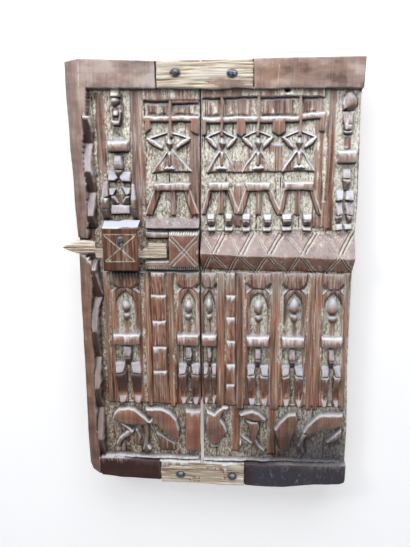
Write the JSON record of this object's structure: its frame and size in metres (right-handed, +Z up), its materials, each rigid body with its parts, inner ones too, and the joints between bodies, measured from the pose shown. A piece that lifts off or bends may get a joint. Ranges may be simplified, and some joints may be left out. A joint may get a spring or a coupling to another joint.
{
  "type": "granary door",
  "caption": "Carved plank shutter with relief figures, tied by nailed battens and closed by a sliding wooden bolt in a lock body with falling pins.",
  "frame": {"origin": "middle of the flat back, half way across and half way up the door", "axes": "+X to the right seen from the carved front, +Y out of the back, +Z up"},
  "size_m": [0.5016, 0.057, 0.762],
  "materials": {
    "carved_wood": "old reddish brown hardwood with a worn, slightly glossy patina and a pale dusty crust in the hollows",
    "pale_wood": "weathered pale brown wood, open grain",
    "forged_iron": "hand-forged iron, blue-grey, rough"
  },
  "bodies": {
    "door": {"left_plank": "carved_wood", "right_plank": "carved_wood", "top_batten": "pale_wood", "bottom_batten": "pale_wood", "lock_body": "carved_wood", "top_batten_nails": "forged_iron", "bottom_batten_nails": "forged_iron", "lock_nail": "forged_iron"},
    "bolt": {"bolt": "pale_wood"},
    "tumbler_1": {"tumbler_1": "forged_iron"},
    "tumbler_2": {"tumbler_2": "forged_iron"}
  },
  "joints": [
    {"name": "bolt_slide", "type": "slide", "parent": "door", "child": "bolt", "axis": [-1, 0, 0], "range_m": [0, 0.018]},
    {"name": "tumbler_1_lift", "type": "slide", "parent": "door", "child": "tumbler_1", "axis": [0, 0, 1], "range_m": [0, 0.007]},
    {"name": "tumbler_2_lift", "type": "slide", "parent": "door", "child": "tumbler_2", "axis": [0, 0, 1], "range_m": [0, 0.007]}
  ]
}
